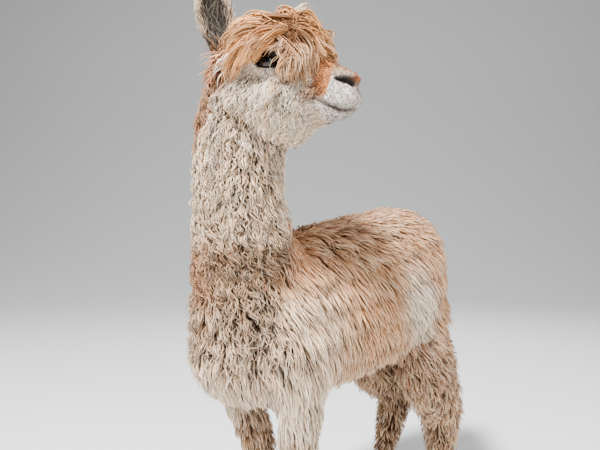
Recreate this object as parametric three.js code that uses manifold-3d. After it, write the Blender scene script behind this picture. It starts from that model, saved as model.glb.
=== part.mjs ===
// A standing adult suri alpaca in full fleece, life size, in millimetres. +Z is up, the body faces -Y and its left
// side is +X. The head is turned back over the left shoulder. The origin is on the ground, under the middle of the
// model. Every solid reaches out to the tips of the coat, and neighbouring solids stand a hair's breadth apart.
import * as THREE from 'three';
import { LoftGeometry } from 'three/addons/geometries/LoftGeometry.js';
import { mergeVertices } from 'three/addons/utils/BufferGeometryUtils.js';
import Module from 'manifold-3d';

const wasm = await Module();
wasm.setup();

// ---- driving dimensions ------------------------------------------------------------------------------------------

const GAP = 0.5; // left between neighbouring solids
const WITHERS = 868; // height of the back over the shoulders, fleece included
const CROUP = 930; // height of the back over the hips
const BELLY = 474; // clearance under the fleece, behind the elbows
const EYE_LEVEL = 1200; // height of the eyes above the ground
const HEAD_TURN = 110; // degrees that the head is turned from straight ahead towards the left
const EYE_RADIUS = 21;
const LEG_PARTING = { fore: 450, hind: 484 }; // heights where the upper and the lower leg meet
const FETLOCK = 92; // height where the foot begins
const MIDDLE = new THREE.Vector3(48.5, -38.5, 0); // the point of the body's frame that stands over the origin

const LEFT = new THREE.Vector3(1, 0, 0);
const BACK = new THREE.Vector3(0, 1, 0);
const UP = new THREE.Vector3(0, 0, 1);

// ---- tools -------------------------------------------------------------------------------------------------------

// A closed manifold-3d solid from a three.js geometry.
function solidOf(geometry) {
  const bare = new THREE.BufferGeometry().copy(geometry);
  bare.deleteAttribute('normal');
  bare.deleteAttribute('uv');
  const merged = mergeVertices(bare, 1e-3);
  return new wasm.Manifold(new wasm.Mesh({
    numProp: 3,
    vertProperties: new Float32Array(merged.attributes.position.array),
    triVerts: new Uint32Array(merged.index.array),
  }));
}

// A three.js geometry from a manifold-3d solid.
function geometryOf(solid) {
  const made = solid.getMesh();
  const position = new Float32Array(made.numVert * 3);
  for (let i = 0; i < made.numVert; i++) {
    position.set(made.vertProperties.subarray(i * made.numProp, i * made.numProp + 3), i * 3);
  }
  const geometry = new THREE.BufferGeometry();
  geometry.setAttribute('position', new THREE.BufferAttribute(position, 3));
  geometry.setIndex(new THREE.BufferAttribute(new Uint32Array(made.triVerts), 1));
  geometry.computeVertexNormals();
  return geometry;
}

const union = (solids) => wasm.Manifold.union(solids);

// The largest of the bodies that a cut has left, without its slivers.
const largest = (solid) => solid.decompose().sort((a, b) => b.volume() - a.volume())[0].simplify(GAP * 0.48);

// A station of a limb: a point of its line, the outline's half width and half depth there, and pear, the share by
// which the outline widens towards the deep axis's positive end.
const station = (x, y, z, wide, deep, pear = 0) => ({ at: new THREE.Vector3(x, y, z), wide, deep, pear });

// A rounded outline carried along a smooth line through stations. The deep axis is the line's direction cross `side`:
// down on the trunk, back on the neck, forward on a leg, up on the head. `facing` keeps every outline square to one
// direction, and `grow` makes the limb larger all round.
function limb(stations, { side = LEFT, around = 10, rings = 1, facing = null, grow = 0 } = {}) {
  const line = new THREE.CatmullRomCurve3(stations.map((s) => s.at), false, 'catmullrom', 0.5);
  const size = new THREE.CatmullRomCurve3(
    stations.map((s) => new THREE.Vector3(s.wide, s.deep, s.pear)), false, 'catmullrom', 0.5);
  const count = (stations.length - 1) * rings;
  const sections = [];
  for (let i = 0; i <= count; i++) {
    const along = facing ?? line.getTangent(i / count);
    const across = side.clone().addScaledVector(along, -side.dot(along)).normalize();
    const deep = along.clone().cross(across);
    const centre = line.getPoint(i / count);
    if (i === 0) centre.addScaledVector(along, -grow);
    if (i === count) centre.addScaledVector(along, grow);
    const { x: halfWidth, y: halfDepth, z: pear } = size.getPoint(i / count);
    const section = [];
    for (let j = 0; j < around; j++) {
      const angle = (j / around) * 2 * Math.PI;
      const u = Math.sign(Math.cos(angle)) * Math.abs(Math.cos(angle)) ** 0.91 * (1 + pear * Math.sin(angle));
      const v = Math.sign(Math.sin(angle)) * Math.abs(Math.sin(angle)) ** 0.91;
      section.push(centre.clone()
        .addScaledVector(across, u * (halfWidth + grow))
        .addScaledVector(deep, v * (halfDepth + grow)));
    }
    sections.push(section);
  }
  return solidOf(new LoftGeometry(sections, { capStart: true, capEnd: true }));
}

// An ellipsoid about a point, with its three half sizes along the axes of a frame.
function ellipsoid(centre, axes, sizes, detail = [10, 6]) {
  const geometry = new THREE.SphereGeometry(1, ...detail);
  const place = new THREE.Matrix4().makeBasis(...axes.map((axis, i) => axis.clone().multiplyScalar(sizes[i])));
  geometry.applyMatrix4(place.setPosition(centre));
  return solidOf(geometry);
}

// ---- trunk, tail and neck ----------------------------------------------------------------------------------------

// A station of the trunk from the heights of its top and bottom at a place along it.
const barrel = (y, top, bottom, wide, pear) => station(0, y, (top + bottom) / 2, wide, (top - bottom) / 2, pear);

const TRUNK = [
  barrel(-474, 652, 588, 26),
  barrel(-466, 686, 550, 56),
  barrel(-446, 716, 518, 84),
  barrel(-404, 776, 488, 116, 0.04),
  barrel(-330, 846, BELLY - 8, 148, 0.1),
  barrel(-190, WITHERS + 10, BELLY - 2, 180, 0.08),
  barrel(-50, WITHERS + 28, BELLY + 4, 192, 0.06),
  barrel(90, CROUP - 12, BELLY + 18, 194, 0.04),
  barrel(185, CROUP, BELLY + 42, 186),
  barrel(262, CROUP - 14, BELLY + 68, 150, 0.02),
  barrel(316, CROUP - 50, BELLY + 96, 114, 0.04),
  barrel(354, CROUP - 106, BELLY + 136, 80, 0.04),
  barrel(374, CROUP - 142, BELLY + 178, 52),
  barrel(380, CROUP - 178, BELLY + 206, 20),
];

const TAIL = [
  station(0, 318, 846, 28, 30),
  station(0, 358, 828, 36, 32),
  station(0, 386, 776, 37, 27),
  station(0, 396, 710, 32, 22),
  station(0, 396, 655, 20, 13),
  station(0, 394, 634, 6, 4),
];

const NECK = [
  station(0, -250, 560, 96, 120),
  station(0, -290, 640, 136, 182),
  station(2, -322, 715, 133, 164),
  station(6, -348, 785, 117, 134),
  station(11, -371, 850, 102, 110),
  station(22, -393, 940, 92, 95),
  station(31, -396, 1030, 91, 93),
  station(38, -390, 1095, 93, 95),
  station(42, -390, 1160, 86, 87),
  station(42, -395, 1205, 66, 66),
  station(42, -395, 1222, 30, 30),
];

// ---- head --------------------------------------------------------------------------------------------------------

// The head has its own frame: forward to the nose, left and up, from the point midway between the eyes.
const turned = THREE.MathUtils.degToRad(HEAD_TURN);
const FORWARD = new THREE.Vector3(Math.sin(turned), -Math.cos(turned), 0);
const ACROSS = UP.clone().cross(FORWARD);
const HEAD_AXES = [FORWARD, ACROSS, UP];

const onHead = (x, y, z) => new THREE.Vector3(125, -364, EYE_LEVEL)
  .addScaledVector(FORWARD, x).addScaledVector(ACROSS, y).addScaledVector(UP, z);

const headStation = (x, y, z, wide, deep, pear = 0) => ({ at: onHead(x, y, z), wide, deep, pear });

// A station of the skull from the heights of its top and bottom above the level of the eyes.
const skull = (x, top, bottom, wide, pear) => headStation(x, 0, (top + bottom) / 2, wide, (top - bottom) / 2, pear);

const HEAD = [
  skull(-142, -10, -84, 34),
  skull(-130, 24, -112, 58),
  skull(-100, 50, -130, 76, -0.04),
  skull(-60, 62, -138, 82, -0.06),
  skull(-20, 62, -139, 78, -0.08),
  skull(20, 53, -136, 67, -0.08),
  skull(55, 38, -131, 54, -0.06),
  skull(85, 20, -123, 43),
  skull(115, 2, -115, 36),
  skull(140, -12, -106, 32, -0.06),
  skull(157, -22, -96, 26, -0.06),
  skull(166, -38, -84, 16),
];

// The soft parts of the muzzle: nose, the two halves of the upper lip, and the chin.
const MUZZLE = [
  [144, 0, -37, 25, 31, 20],
  [134, 11, -72, 37, 23, 27],
  [134, -11, -72, 37, 23, 27],
  [123, 0, -98, 30, 24, 15],
];

// The line of the closed mouth, from one corner round the front to the other.
const MOUTH = [
  [97, 40, -75], [118, 31, -90], [139, 22, -97], [157, 13, -98], [167, 0, -95],
  [157, -13, -98], [139, -22, -97], [118, -31, -90], [97, -40, -75],
];

// Locks of the topknot that fall from the crown: direction round the head in degrees from the nose, reach, the
// height where the lock ends and its half width.
const LOCKS = [
  [0, 120, 12, 26], [-36, 110, 2, 25], [36, 110, 2, 25], [-72, 94, -2, 26], [72, 94, -2, 26],
  [-116, 96, 6, 28], [116, 96, 6, 28], [180, 126, -10, 30],
];
const CROWN = [-6, 0, 98];

// A lock from the crown: it leaves level and bends down to its end.
function lock([bearing, reach, end, wide]) {
  const angle = THREE.MathUtils.degToRad(bearing);
  const outward = FORWARD.clone().multiplyScalar(Math.cos(angle)).addScaledVector(ACROSS, Math.sin(angle));
  const at = (share, size) => {
    const point = onHead(...CROWN).addScaledVector(outward, reach * share);
    point.addScaledVector(UP, (end - CROWN[2]) * Math.max(share, 0) ** 2.2);
    return { at: point, wide: wide * size, deep: 13 * size, pear: 0 };
  };
  const stations = [at(-0.08, 0.5), at(0.4, 1), at(0.8, 0.9), at(1, 0.25)];
  return limb(stations, { side: UP.clone().cross(outward), around: 5 });
}

const TOPKNOT = [
  skull(-122, 56, 10, 30),
  skull(-104, 84, 0, 58),
  skull(-62, 98, 0, 76),
  skull(-12, 99, 0, 76),
  skull(34, 86, 0, 66),
  skull(76, 56, 0, 48),
  skull(106, 22, 2, 20),
];

// An ear from its base to its tip: a spear-shaped blade, scooped out on the side that `opening` faces.
function ear(base, tip, opening, grow) {
  const [root, point] = [onHead(...base), onHead(...tip)];
  const axis = point.clone().sub(root);
  const open = FORWARD.clone().multiplyScalar(opening[0]).addScaledVector(ACROSS, opening[1])
    .addScaledVector(UP, opening[2]);
  open.addScaledVector(axis, -open.dot(axis) / axis.lengthSq()).normalize();
  const blade = [[-0.1, 13, 12, 0], [0.06, 16, 15, 0], [0.3, 26, 17, -1], [0.5, 33, 16, -4], [0.7, 31, 13, -4],
    [0.88, 17, 8, 1], [1, 3, 3, 6]];
  const hollow = [[0.1, 4, 4, 14], [0.3, 14, 9, 13], [0.52, 23, 9, 9], [0.76, 18, 7, 7], [0.92, 5, 3, 8]];
  const stations = (list) => list.map(([share, wide, deep, lift]) => ({
    at: root.clone().addScaledVector(axis, share).addScaledVector(open, lift), wide, deep, pear: 0,
  }));
  const side = axis.clone().cross(open).normalize();
  const solid = limb(stations(blade), { side, around: 10, grow });
  return grow ? solid : solid.subtract(limb(stations(hollow), { side, around: 6 }));
}

const EARS = {
  right: [[-110, -44, 10], [-119, -86, 184], [0.42, -0.9, 0.1]],
  left: [[-72, 44, 40], [-12, 132, 190], [0.5, 0.8, -0.3]],
};

// ---- legs --------------------------------------------------------------------------------------------------------

// The stations of a leg from the shoulder or the hip down to the fetlock. `side` is 1 for a left leg and -1 for a
// right one. `joint` and `foot` give how far back from the plain stance the hock or knee and the foot are, and `out`
// how far out from the midline the lower leg is.
const FORELEG = (side, { joint, foot, out = 0 }) => [
  station(side * 88, -318, 740, 30, 44),
  station(side * 104, -316, 712, 46, 74),
  station(side * 118, -308, 645, 62, 98),
  station(side * 119, -300, 560, 60, 86),
  station(side * 111, -294 + joint * 0.3, 480, 51, 66),
  station(side * (101 + out * 0.5), -290 + joint * 0.6, 410, 45, 52),
  station(side * (96 + out), -286 + joint, 330, 43, 48),
  station(side * (93 + out), -284 + (joint + foot) / 2, 240, 37, 42),
  station(side * (92 + out), -284 + foot * 0.8, 150, 33, 37),
  station(side * (92 + out), -286 + foot, 92, 31, 36),
  station(side * (92 + out), -295 + foot, 62, 28, 34),
  station(side * (92 + out), -301 + foot, 34, 20, 26),
];

const HINDLEG = (side, { joint, foot, out = 0 }) => [
  station(side * 90, 190, 760, 40, 74),
  station(side * 104, 188, 720, 60, 100),
  station(side * 110, 182, 640, 67, 104),
  station(side * 116, 176, 560, 66, 98),
  station(side * (119 + out * 0.3), 188 + joint * 0.5, 480, 63, 90),
  station(side * (114 + out * 0.6), 244 + joint * 0.8, 400, 53, 76),
  station(side * (110 + out), 290 + joint, 335, 49, 64),
  station(side * (106 + out), 294 + joint * 0.6 + foot * 0.4, 260, 41, 50),
  station(side * (104 + out), 287 + joint * 0.2 + foot * 0.8, 170, 35, 41),
  station(side * (103 + out), 280 + foot, 92, 31, 37),
  station(side * (103 + out), 271 + foot, 62, 28, 34),
  station(side * (103 + out), 265 + foot, 34, 20, 26),
];

// Where the shoulder and the hip part from the trunk: an upright round-topped column about a point of the flank.
const column = (x, y, top, wide, deep) => [
  station(x, y, 400, wide, deep), station(x, y, top - 120, wide, deep),
  station(x, y, top - 70, wide, deep * 0.9), station(x, y, top - 24, wide * 0.7, deep * 0.64),
  station(x, y, top, 30, 30),
];
const SHOULDER = (side) => column(side * 150, -306, 716, 102, 104);
const HIP = (side) => column(side * 146, 190, 764, 106, 138);

const LEGS = {
  foreleg_left: { side: 1, line: FORELEG(1, { joint: 0, foot: 0 }) },
  foreleg_right: { side: -1, line: FORELEG(-1, { joint: 44, foot: 44, out: -12 }) },
  hindleg_left: { side: 1, line: HINDLEG(1, { joint: 8, foot: 0 }) },
  hindleg_right: { side: -1, line: HINDLEG(-1, { joint: 58, foot: -32, out: -24 }) },
};

// One of a foot's two toes, from under the fetlock at x, y. `t` is 1 for the left toe and -1 for the right one.
const toe = (x, y, t) => limb([
  station(x + t * 12, y + 26, 26, 13, 30),
  station(x + t * 16, y + 8, 22, 18, 31),
  station(x + t * 18, y - 30, 19, 19, 27),
  station(x + t * 19, y - 58, 13, 11, 15),
], { around: 6 });

// The nail at the front of a toe: it follows the toe's slope and ends blunt, just clear of the ground.
const nail = (x, y, t, grow = 0) => limb([
  station(x + t * 18, y - 44, 28, 8, 8),
  station(x + t * 19, y - 60, 19, 11, 12),
  station(x + t * 19, y - 76, 10, 7, 7),
  station(x + t * 19, y - 82, 6, 3, 3),
], { around: 5, grow });

// ---- assembly ----------------------------------------------------------------------------------------------------

const wool = (color) => new THREE.MeshStandardMaterial({ color, roughness: 0.95, metalness: 0 });
const CREAM = wool(0xe2d3c4);
const FAWN = wool(0xcda98c);
const ROSE = wool(0xc9a48b);
const BROWN = wool(0xa67f63);
const ORANGE = wool(0xc98d57);
const GREY = wool(0x9d9189);
const WET_BLACK = new THREE.MeshStandardMaterial({ color: 0x0d0b0b, roughness: 0.08, metalness: 0 });
const HORN = new THREE.MeshStandardMaterial({ color: 0x3b3431, roughness: 0.5, metalness: 0 });

const alpaca = new THREE.Group();

function add(name, solid, material) {
  const mesh = new THREE.Mesh(geometryOf(largest(solid)), material);
  mesh.name = name;
  mesh.position.copy(MIDDLE).negate();
  alpaca.add(mesh);
}

const parting = (name) => (name.startsWith('fore') ? LEG_PARTING.fore : LEG_PARTING.hind);
const below = (height, solid) => solid.trimByPlane([0, 0, -1], -height + GAP / 2);
const above = (height, solid) => solid.trimByPlane([0, 0, 1], height + GAP / 2);

// The whole animal in one, to be parted into its named pieces.
const skullShape = (grow) => limb(HEAD, { side: ACROSS, facing: FORWARD, around: 20, grow });
const muzzle = MUZZLE.map(([x, y, z, ...sizes]) => ellipsoid(onHead(x, y, z), HEAD_AXES, sizes, [9, 6]));
const flesh = union([
  limb(TRUNK, { facing: BACK, around: 20 }), limb(NECK, { around: 20 }), skullShape(0), ...muzzle,
  ...Object.entries(LEGS).map(([name, { line }]) => above(parting(name), limb(line))),
]);

// The neck stands on the trunk along a slope from the withers to the front of the chest, and the head parts from it
// along another from the nape to the throat.
function split(solid, normal, point) {
  const offset = normal.dot(point);
  return [
    solid.trimByPlane(normal.toArray(), offset + GAP / 2),
    solid.trimByPlane(normal.clone().negate().toArray(), -offset + GAP / 2),
  ];
}
const slope = new THREE.Vector3(0, -0.45, 1).normalize();
const nape = FORWARD.clone().multiplyScalar(0.69).addScaledVector(UP, 0.72).normalize();
const [forepart, body] = split(flesh, slope, new THREE.Vector3(0, -262, 846));
const [headPart, neckPart] = split(forepart, nape, onHead(-60, 0, -62));

// Head: the mouth's groove, the nostrils, the philtrum and the sockets of the eyes and ears are cut into it.
const eyeball = (side, grow = 0) => ellipsoid(
  onHead(0, side * 48, 2), HEAD_AXES, [EYE_RADIUS + grow, EYE_RADIUS + grow, EYE_RADIUS + grow], [10, 8]);
const groove = MOUTH.map(([x, y, z]) => headStation(x, y, z, 3, 3));
const philtrum = [headStation(167, 0, -50, 1.5, 5), headStation(167, 0, -100, 1.5, 5)];
let neck = neckPart;
let head = headPart
  .subtract(limb(groove, { side: UP, around: 4 }))
  .subtract(limb(philtrum, { side: ACROSS, around: 4 }));
let topknot = union([limb(TOPKNOT, { side: ACROSS, facing: FORWARD, around: 10 }), ...LOCKS.map(lock)]);
topknot = topknot.subtract(skullShape(GAP)).subtract(limb(NECK, { around: 20, grow: GAP }));
for (const side of [1, -1]) {
  const nostril = [[122, 27, -33, 2, 3], [142, 28, -39, 7, 6], [160, 21, -47, 6, 4], [168, 14, -51, 2, 2]];
  const stations = nostril.map(([x, y, z, wide, deep]) => headStation(x, side * y, z, wide, deep));
  head = head.subtract(limb(stations, { side: ACROSS, around: 6 })).subtract(eyeball(side, GAP));
  topknot = topknot.subtract(eyeball(side, GAP));
  add(side > 0 ? 'eye_left' : 'eye_right', eyeball(side), WET_BLACK);
}
for (const [side, shape] of Object.entries(EARS)) {
  head = head.subtract(ear(...shape, GAP));
  neck = neck.subtract(ear(...shape, GAP));
  topknot = topknot.subtract(ear(...shape, GAP));
  add(`ear_${side}`, ear(...shape, 0), GREY);
}
add('neck', neck, CREAM);
add('head', head, CREAM);
add('topknot', topknot, ORANGE);

// Legs: each parts from the trunk along a column round the shoulder or the hip, again below the long fleece and at
// the fetlock. Each foot stands on two flat-soled toes and carries a nail at the front of either.
let trunk = body;
for (const [name, { side, line }] of Object.entries(LEGS)) {
  const edge = parting(name);
  const region = name.startsWith('fore') ? SHOULDER(side) : HIP(side);
  trunk = trunk.subtract(limb(region, { facing: UP, grow: GAP }));
  const upper = above(edge, body.intersect(limb(region, { facing: UP })));
  add(`${name}_upper`, upper, name.startsWith('fore') ? CREAM : ROSE);
  add(`${name}_lower`, above(FETLOCK, below(edge, limb(line))), BROWN);
  const { x, y } = line[line.length - 1].at;
  let foot = union([below(FETLOCK, limb(line)), toe(x, y, 1), toe(x, y, -1)]).trimByPlane([0, 0, 1], 0);
  for (const t of [1, -1]) {
    foot = foot.subtract(nail(x, y, t, GAP));
    add(`${name.replace('leg', 'foot')}_nail_${t > 0 ? 'left' : 'right'}`, nail(x, y, t), HORN);
  }
  add(name.replace('leg', 'foot'), foot, BROWN);
}
add('trunk', trunk.subtract(limb(TAIL, { grow: GAP })), FAWN);
add('tail', limb(TAIL), ROSE);

export default alpaca;
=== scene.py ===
import math

import bpy
import numpy as np
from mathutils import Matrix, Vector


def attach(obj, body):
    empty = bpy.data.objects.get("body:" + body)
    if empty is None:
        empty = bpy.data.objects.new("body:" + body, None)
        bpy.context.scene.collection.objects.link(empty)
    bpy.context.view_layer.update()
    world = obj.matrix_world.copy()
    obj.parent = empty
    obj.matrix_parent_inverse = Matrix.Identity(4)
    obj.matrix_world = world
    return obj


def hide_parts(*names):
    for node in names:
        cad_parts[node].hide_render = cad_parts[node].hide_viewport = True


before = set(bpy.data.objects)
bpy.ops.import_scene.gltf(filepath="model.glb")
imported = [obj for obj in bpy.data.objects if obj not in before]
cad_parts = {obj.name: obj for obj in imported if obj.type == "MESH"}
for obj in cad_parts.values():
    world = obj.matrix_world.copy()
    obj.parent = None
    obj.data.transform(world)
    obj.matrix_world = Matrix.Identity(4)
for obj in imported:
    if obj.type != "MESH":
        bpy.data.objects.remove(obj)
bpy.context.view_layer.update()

# ---- Carcass under the fleece ---------------------------------------------------------------------------------
# The neck, trunk, tail, legs and feet of the alpaca without their wool: hide over flesh and bone. They are taken
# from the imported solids, run together into one closed surface, rounded, and shrunk by the depth of the coat.

ORIGIN = np.array((0.0485, -0.0385, 0.0))  # the row's origin, measured from the ground under the withers


def smooth(value, low, high):
    """0 below low, 1 above high, and an S-shaped rise between them."""
    t = np.clip((value - low) / (high - low), 0, 1)
    return t * t * (3 - 2 * t)


def unit(vectors):
    """The same directions with length 1."""
    return vectors / np.maximum(np.linalg.norm(vectors, axis=-1, keepdims=True), 1e-12)


def triangles(faces):
    """Every quad of the list as two triangles."""
    return np.vstack([faces[:, [0, 1, 2]], faces[:, [0, 2, 3]]])


def wall(rings, around):
    """The triangles of a tube's wall, between neighbouring rings of `around` points each."""
    i, j = np.meshgrid(np.arange(rings - 1), np.arange(around), indexing="ij")
    k = (j + 1) % around
    quads = np.stack([i * around + j, (i + 1) * around + j, (i + 1) * around + k, i * around + k], axis=-1)
    return triangles(quads.reshape(-1, 4))


def new_mesh(name, points, faces):
    """A smooth-shaded mesh object at the origin, from its points and its triangles or quads."""
    mesh = bpy.data.meshes.new(name)
    mesh.vertices.add(len(points))
    mesh.vertices.foreach_set("co", np.asarray(points, np.float32).ravel())
    mesh.loops.add(faces.size)
    mesh.loops.foreach_set("vertex_index", np.asarray(faces, np.int32).ravel())
    mesh.polygons.add(len(faces))
    mesh.polygons.foreach_set("loop_start", np.arange(0, faces.size, faces.shape[1], dtype=np.int32))
    mesh.polygons.foreach_set("use_smooth", np.ones(len(faces), bool))
    mesh.update(calc_edges=True)
    piece = bpy.data.objects.new(name, mesh)
    bpy.context.scene.collection.objects.link(piece)
    return piece


def arrays(piece):
    """Points and triangles of an object's mesh with its modifiers applied."""
    mesh = piece.evaluated_get(bpy.context.evaluated_depsgraph_get()).to_mesh()
    mesh.calc_loop_triangles()
    points = np.empty((len(mesh.vertices), 3), np.float32)
    faces = np.empty((len(mesh.loop_triangles), 3), np.int32)
    mesh.vertices.foreach_get("co", points.ravel())
    mesh.loop_triangles.foreach_get("vertices", faces.ravel())
    return points.astype(float), faces


def join(shapes):
    """Several (points, triangles) as one."""
    starts = np.cumsum([0] + [len(points) for points, _ in shapes])
    return (np.vstack([points for points, _ in shapes]),
            np.vstack([faces + start for (_, faces), start in zip(shapes, starts)]))


def run_together(shapes, voxel):
    """Closed shapes that touch or cross, as one evenly meshed surface of quads about one voxel across."""
    piece = new_mesh("rough", *join(shapes))
    remesh = piece.modifiers.new("voxels", "REMESH")
    remesh.mode, remesh.voxel_size = "VOXEL", voxel
    points, faces = arrays(piece)
    bpy.data.objects.remove(piece)
    return points, faces


def relax(points, faces, rounds, amount=0.5):
    """Each point moves towards the mean of its neighbours, several times over."""
    start, end = faces.ravel(), np.roll(faces, -1, axis=1).ravel()
    count = np.bincount(start, minlength=len(points))[:, None]
    for _ in range(rounds):
        mean = np.stack([np.bincount(start, points[end, k], len(points)) for k in range(3)], axis=1) / count
        points = points + (mean - points) * amount
    return points


def normals(points, faces):
    """The outward direction at each point: the area-weighted mean of its triangles' directions."""
    a, b, c = points[faces[:, 0]], points[faces[:, 1]], points[faces[:, 2]]
    face = np.cross(b - a, c - a)
    total = [np.bincount(faces.ravel(), np.repeat(face[:, k], 3), len(points)) for k in range(3)]
    return unit(np.stack(total, axis=1))


def ellipsoid(centre, axes, sizes, around=32):
    """A closed ellipsoid: centre + the sum over its axes of size times the point of a unit sphere."""
    u, v = np.meshgrid(np.linspace(0, 2 * math.pi, around, endpoint=False), np.linspace(0, math.pi, around // 2 + 1))
    sphere = np.stack([np.cos(u) * np.sin(v), np.sin(u) * np.sin(v), np.cos(v)], axis=-1)
    return centre + (sphere * sizes).reshape(-1, 3) @ np.asarray(axes), wall(around // 2 + 1, around)


# The head's own directions: forward to the nose, across to its left, and up, from between the eyes.
TURN = math.radians(110)
EYES = np.array((0.125, -0.364, 1.2))
FORWARD = np.array((math.sin(TURN), -math.cos(TURN), 0.0))
ACROSS = np.array((math.cos(TURN), math.sin(TURN), 0.0))
UP = np.array((0.0, 0.0, 1.0))
HEAD_AXES = np.array((FORWARD, ACROSS, UP))


def on_head(local):
    """Points of the head's own frame, in the row's frame."""
    return np.asarray(local) @ HEAD_AXES + EYES - ORIGIN


def head_frame(points):
    """Points of the row's frame, in the head's own."""
    return (points + ORIGIN - EYES) @ HEAD_AXES.T


def regions(points):
    """How far each point belongs to the head, neck, tail, lower legs and feet, and to the collar, which is the neck's
    wool where it runs on over the chest and stops short of the withers: 0 to 1."""
    x, y, z = (points + ORIGIN).T
    a, _, c = head_frame(points).T
    fore = (z - 0.846 - 0.45 * (y + 0.262)) / 1.097
    head = smooth(0.69 * a + 0.72 * c + 0.086, -0.015, 0.015) * smooth(z, 1.0, 1.04)
    neck = smooth(fore, -0.03, 0.03)
    withers = smooth(y, -0.345, -0.315) * smooth(0.93 - z, 0, 0.05)
    chest = smooth(-y, 0.34, 0.4) * smooth(z, 0.565, 0.645)
    return {
        "head": head, "neck": neck * (1 - head), "collar": (1 - head) * np.maximum(neck * (1 - withers), chest),
        "tail": (np.abs(x) < 0.045) * smooth(y, 0.352, 0.372) * smooth(z, 0.6, 0.62),
        "shank": 1 - smooth(z, 0.41, 0.49), "foot": 1 - smooth(z, 0.06, 0.13),
    }


def coat_depth(points):
    """How far the tips of the coat stand above the hide, in metres."""
    r = regions(points)
    z = points[:, 2]
    depth = 0.02 - 0.006 * r["neck"] - 0.004 * r["shank"] * smooth(0.49 - z, 0.05, 0.3)
    depth = depth * (1 - r["tail"]) + 0.009 * r["tail"]
    return depth * (1 - r["foot"]) + 0.0035 * r["foot"]


flesh = [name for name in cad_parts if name.split("_")[0] in ("neck", "trunk", "tail", "foreleg", "hindleg")
         or name in ("forefoot_left", "forefoot_right", "hindfoot_left", "hindfoot_right")]
plug = ellipsoid(on_head((-0.055, 0.0, -0.055)), HEAD_AXES, (0.06, 0.05, 0.055))  # fills the neck up into the skull
HIDE_STEP, SOLE = 0.0070, 0.0035  # the mesh step of the hide; what lies below the sole's height is pressed flat
carcass, carcass_faces = run_together([arrays(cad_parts[name]) for name in flesh] + [plug], HIDE_STEP)
carcass = relax(carcass, carcass_faces, 8)
carcass = carcass - normals(carcass, carcass_faces) * coat_depth(carcass)[:, None]
carcass = relax(carcass, carcass_faces, 5)
carcass[:, 2] -= carcass[:, 2].min() * (1 - smooth(carcass[:, 2], 0.0, 0.06))
carcass[:, 2] = np.where(carcass[:, 2] < SOLE, 0.0, carcass[:, 2])

# ---- Head -----------------------------------------------------------------------------------------------------
# Skull, jaw and muzzle under short fur: a lofted skull with the soft nose, the two halves of the upper lip and the
# chin run into it, then the eye sockets and lids, the nostrils with their wings and the line of the mouth.


def through(rows, count):
    """A smooth curve through the rows of a table (Catmull-Rom), at even steps of its parameter."""
    rows = np.asarray(rows, float)
    ends = np.vstack([2 * rows[0] - rows[1], rows, 2 * rows[-1] - rows[-2]])
    t = np.linspace(0, len(rows) - 1, count)
    i = np.minimum(t.astype(int), len(rows) - 2)
    a, b, c, d, f = ends[i], ends[i + 1], ends[i + 2], ends[i + 3], (t - i)[:, None]
    return 0.5 * (2 * b + (c - a) * f + (2 * a - 5 * b + 4 * c - d) * f**2 + (3 * b - a - 3 * c + d) * f**3)


def dot(a, b):
    """The scalar product of each row of a with b, or with the same row of b."""
    return np.sum(a * b, axis=-1)


def closed_tube(rings, around):
    """The triangles of a tube whose ends are closed by fans to two more points, after those of its rings."""
    j = np.arange(around)
    k, first, last = (j + 1) % around, rings * around, (rings - 1) * around
    return np.vstack([wall(rings, around), np.stack([0 * j + first, j, k], axis=1),
                      np.stack([0 * j + first + 1, last + k, last + j], axis=1)])


def loft(centres, across, deep, wide, thick, pear=0.0, around=48):
    """A closed tube: at each centre an oval of half width `wide` along `across` and half depth `thick` along
    `deep`, wider by the share `pear` towards the end of `deep`, with a point closing each end."""
    angle = np.linspace(0, 2 * math.pi, around, endpoint=False)
    u = (np.sign(np.cos(angle)) * np.abs(np.cos(angle)) ** 0.91)[None]
    v = (np.sign(np.sin(angle)) * np.abs(np.sin(angle)) ** 0.91)[None]
    count = len(centres)
    wide, thick, pear = [np.broadcast_to(np.reshape(s, (-1, 1)), (count, 1)) for s in (wide, thick, pear)]
    across, deep = np.broadcast_to(across, (count, 3)), np.broadcast_to(deep, (count, 3))
    rings = (centres[:, None] + across[:, None] * (wide * u * (1 + pear * v))[..., None]
             + deep[:, None] * (thick * v)[..., None])
    points = np.vstack([rings.reshape(-1, 3), centres[:1], centres[-1:]])
    faces = closed_tube(count, around)
    turned = dot(np.cross(across[0], deep[0]), centres[-1] - centres[0]) > 0
    return points, faces[:, ::-1] if turned else faces


def near_path(points, path):
    """Distance of each point to the path: the least of those to its straight stretches."""
    path = np.asarray(path, float)
    best = np.full(len(points), np.inf)
    for start, end in zip(path[:-1], path[1:]):
        along = np.clip(dot(points - start, end - start) / dot(end - start, end - start), 0, 1)
        best = np.minimum(best, np.linalg.norm(points - start - along[:, None] * (end - start), axis=1))
    return best


# Along the head: place, height of the top and of the bottom above the eyes, half width, widening to the top.
SKULL = through([
    (-0.142, -0.010, -0.084, 0.034, 0), (-0.130, 0.024, -0.112, 0.058, 0), (-0.100, 0.050, -0.130, 0.076, -0.04),
    (-0.060, 0.062, -0.138, 0.082, -0.06), (-0.020, 0.062, -0.139, 0.078, -0.08),
    (0.020, 0.053, -0.136, 0.067, -0.08), (0.055, 0.038, -0.131, 0.054, -0.06), (0.085, 0.020, -0.123, 0.043, 0),
    (0.115, 0.002, -0.115, 0.036, 0), (0.140, -0.012, -0.106, 0.032, -0.06), (0.157, -0.022, -0.096, 0.026, -0.06),
    (0.166, -0.038, -0.084, 0.016, 0)], 90)
middle = np.stack([SKULL[:, 0], 0 * SKULL[:, 0], (SKULL[:, 1] + SKULL[:, 2]) / 2], axis=1)
FACE_STEP = 0.0022
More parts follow.
